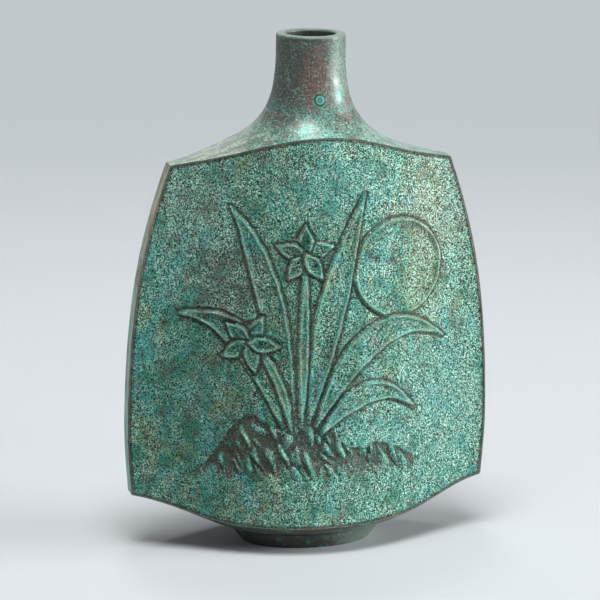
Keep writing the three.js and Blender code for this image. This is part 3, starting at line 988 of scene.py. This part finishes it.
def side_patina(colours):
    """Smooth skin: tan above and green below, under green and brown clouds"""
    skin = Finish("side_patina")
    fine = skin.noise(0.6 * MM, detail=2, roughness=0.7)
    cloud = skin.noise(5 * MM, detail=6, roughness=0.6, stretch=(1, 1, 2.5))
    colour = skin.paint(colours.film, colours.tan, skin.band(120, 195))
    colour = skin.paint(colour, colours.verdigris, skin.between(cloud, 0.48, 0.62), 0.7)
    drab = skin.noise(8 * MM, detail=6, stretch=(1, 1, 2))
    colour = skin.paint(colour, colours.drab, skin.between(drab, 0.48, 0.64), 0.8)
    colour = skin.paint(colour, colours.verdigris, skin.band(100, 30), 0.6)
    colour = skin.paint(colour, colours.umber, skin.between(cloud, 0.44, 0.32), 0.7)
    colour = skin.paint(colour, colours.umber, skin.between(fine, 0.46, 0.34), 0.6)
    skin.bump(skin.blend(fine, 0.6, cloud), 0.1 * MM, 0.8)
    return skin.done(colour, 0.42, 0.3)


def dark_patina(name, colours, green):
    """Nearly black metal with brown and a given share of green breaking through"""
    skin = Finish(name)
    fine = skin.noise(0.7 * MM, detail=3, roughness=0.7)
    cloud = skin.blend(skin.noise(6 * MM, detail=6, roughness=0.65), 0.3, fine)
    edge = 0.78 - 0.3 * green
    colour = skin.paint(colours.charcoal, colours.verdigris, skin.between(cloud, edge, edge + 0.12))
    colour = skin.paint(colour, colours.film, skin.patch((30, -20, 4), (26, 30, 30)), 0.5)
    brown = skin.between(skin.noise(4 * MM, detail=6), 0.54, 0.66)
    colour = skin.paint(colour, colours.russet, brown, 0.6)
    colour = skin.paint(colour, colours.umber, skin.between(fine, 0.45, 0.35), 0.6)
    skin.bump(cloud, 0.2 * MM, 0.8)
    return skin.done(colour, 0.45, 0.35)


def worn_bronze(colours):
    """Brown metal that is rubbed bare towards the top, with green left in its nicks; the pale bare line
    is partly wear and partly a painted highlight along the arris
    """
    skin = Finish("worn_bronze")
    rubbed = skin.noise(5 * MM, detail=6, roughness=0.7)
    worn = skin.blend(rubbed, 0.3, skin.band(60, 200))
    # Bare metal, more of it towards the top: partly wear, partly a painted highlight along the arris
    colour = skin.paint(colours.umber, colours.bare, skin.between(worn, 0.52, 0.85))
    colour = skin.paint(colour, colours.verdigris, skin.between(rubbed, 0.54, 0.66), 0.6)
    skin.bump(skin.noise(1 * MM), 0.05 * MM)
    return skin.done(colour, 0.45, 0.4)


# The stage. Its lengths are in metres.

PAPER = (0.5, 0.525, 0.545)
BACKDROP = (0.53, 0.58, 0.6)
FLOOR_SIZE = 12
FLOOR_FADE = (0.45, 1.6)  # the floor turns into the backdrop between these distances from the vase
DOME_SLOPE = (0.3, 0.95)  # the dome brightens between these heights of its unit sphere
DOME_STRENGTH = (0.02, 0.14)
OPEN = 180  # the spread in degrees of a lamp without a grid

# Each lamp's name, place, width, power in watts and spread
LAMPS = (
    ("key_light", (2.7, -0.8, 0.65), 1.3, 34, 100),
    ("top_light", (-0.4, -1, 3.7), 1.8, 155, OPEN),
    ("shoulder_light", (0.1, 0.9, 2.5), 0.5, 12, OPEN),
    ("back_light", (0, 3, 1.5), 2, 8, OPEN),
    ("right_strip", (1.9, -2.2, 1.4), 0.4, 7, OPEN),
    ("left_strip", (-2.4, -1.6, 1.5), 0.4, 3, OPEN),
)


def floor_paper():
    """Matt paper round the vase, which the camera sees fade into the backdrop further out"""
    skin = Finish("floor_paper")
    backdrop = skin.add("ShaderNodeEmission")
    backdrop.inputs["Color"].default_value = (*BACKDROP, 1)
    rays = skin.add("ShaderNodeLightPath")
    metre = 1 / MM
    fade = skin.between(skin.reach((0, 0, 0), (metre, metre, 0)), *FLOOR_FADE)
    seen = skin.add("ShaderNodeMixShader")
    skin.put(seen.inputs[0], skin.maths("MULTIPLY", fade, rays.outputs["Is Camera Ray"]))
    skin.put(seen.inputs[1], skin.shader.outputs["BSDF"])
    skin.put(seen.inputs[2], backdrop.outputs["Emission"])
    skin.put(skin.tree.nodes["Material Output"].inputs["Surface"], seen.outputs["Shader"])
    return skin.done(PAPER, 0.8, 0)


def studio_world():
    """A soft dome overhead, in whose place the camera and reflections see a plain backdrop"""
    world = bpy.data.worlds.new("studio")
    world.use_nodes = True
    nodes, links = world.node_tree.nodes, world.node_tree.links
    background = nodes["Background"]
    background.inputs["Color"].default_value = (*BACKDROP, 1)
    direction = nodes.new("ShaderNodeTexCoord")
    height = nodes.new("ShaderNodeSeparateXYZ")
    dome = nodes.new("ShaderNodeMapRange")
    dome.interpolation_type = "SMOOTHSTEP"
    dome.inputs["From Min"].default_value, dome.inputs["From Max"].default_value = DOME_SLOPE
    dome.inputs["To Min"].default_value, dome.inputs["To Max"].default_value = DOME_STRENGTH
    links.new(direction.outputs["Generated"], height.inputs["Vector"])
    links.new(height.outputs["Z"], dome.inputs["Value"])
    rays = nodes.new("ShaderNodeLightPath")
    seen = nodes.new("ShaderNodeMath")
    seen.operation = "MAXIMUM"
    links.new(rays.outputs["Is Camera Ray"], seen.inputs[0])
    links.new(rays.outputs["Is Glossy Ray"], seen.inputs[1])
    strength = nodes.new("ShaderNodeMix")
    strength.inputs["B"].default_value = 1
    links.new(seen.outputs["Value"], strength.inputs["Factor"])
    links.new(dome.outputs["Result"], strength.inputs["A"])
    links.new(strength.outputs["Result"], background.inputs["Strength"])
    return world


def area_light(name, place, size, power, spread, aim):
    """A square soft light; a small spread keeps its light off the floor near it, as a grid does"""
    data = bpy.data.lights.new(name, "AREA")
    data.size = size
    data.energy = power
    data.spread = math.radians(spread)
    lamp = bpy.data.objects.new(name, data)
    bpy.context.scene.collection.objects.link(lamp)
    lamp.location = place
    lamp.rotation_euler = (aim - lamp.location).to_track_quat("-Z", "Y").to_euler()


class VASE_OT_stage(bpy.types.Operator):
    """Lay the floor, light the vase and set the camera"""

    bl_idname = "vase.stage"
    bl_label = "Stage"

    def execute(self, context):
        stage = context.scene.vase_stage
        bpy.ops.object.select_all(action="DESELECT")
        bpy.ops.mesh.primitive_plane_add(size=FLOOR_SIZE)
        floor = context.object
        floor.name = "floor"
        floor.data.materials.append(floor_paper())
        middle = (CAD_BOX[0] + CAD_BOX[1]) / 2
        for lamp in LAMPS:
            area_light(*lamp, middle)
        context.scene.world = studio_world()
        data = bpy.data.cameras.new("camera")
        data.lens = stage.lens
        camera = bpy.data.objects.new("camera", data)
        context.scene.collection.objects.link(camera)
        turn = -stage.side
        camera.location = (
            -stage.offset * math.cos(turn) + stage.distance * math.sin(turn),
            -stage.offset * math.sin(turn) - stage.distance * math.cos(turn),
            stage.height,
        )
        aim = Matrix.Rotation(turn, 3, "Z") @ Matrix.Rotation(math.pi / 2 - stage.tilt, 3, "X")
        camera.rotation_euler = (aim @ Matrix.Rotation(stage.roll, 3, "Z")).to_euler()
        context.scene.camera = camera
        context.scene.view_settings.view_transform = "Standard"
        return {"FINISHED"}


class VASE_PT_panel(bpy.types.Panel):
    """The vase's sizes, colours and steps"""

    bl_idname = "VASE_PT_panel"
    bl_label = "Flat vase"
    bl_space_type = "VIEW_3D"
    bl_region_type = "UI"
    bl_category = "Vase"

    def draw(self, context):
        scene = context.scene
        for group in (scene.vase_sizes, scene.vase_colours, scene.vase_stage):
            for name in group.bl_rna.properties.keys():
                if name not in ("rna_type", "name"):
                    self.layout.prop(group, name)
        for operator in OPERATORS:
            self.layout.operator(operator.bl_idname)


OPERATORS = (
    VASE_OT_panels, VASE_OT_side_walls, VASE_OT_shoulder, VASE_OT_neck, VASE_OT_underside,
    VASE_OT_foot, VASE_OT_arrises, VASE_OT_stage,
)
GROUPS = {"vase_sizes": VaseSizes, "vase_colours": VaseColours, "vase_stage": VaseStage}
CLASSES = (*GROUPS.values(), *OPERATORS, VASE_PT_panel)


def register():
    """Make the classes and their scene properties known"""
    for item in CLASSES:
        bpy.utils.register_class(item)
    for name, group in GROUPS.items():
        setattr(bpy.types.Scene, name, bpy.props.PointerProperty(type=group))


def unregister():
    """Take them away again"""
    for name in GROUPS:
        delattr(bpy.types.Scene, name)
    for item in reversed(CLASSES):
        bpy.utils.unregister_class(item)


def main():
    """Make the vase and its stage"""
    register()
    bpy.ops.vase.panels()
    bpy.ops.vase.side_walls()
    bpy.ops.vase.shoulder()
    bpy.ops.vase.neck()
    bpy.ops.vase.underside()
    bpy.ops.vase.foot()
    bpy.ops.vase.arrises()
    bpy.ops.vase.stage()


if __name__ == "__main__":
    main()
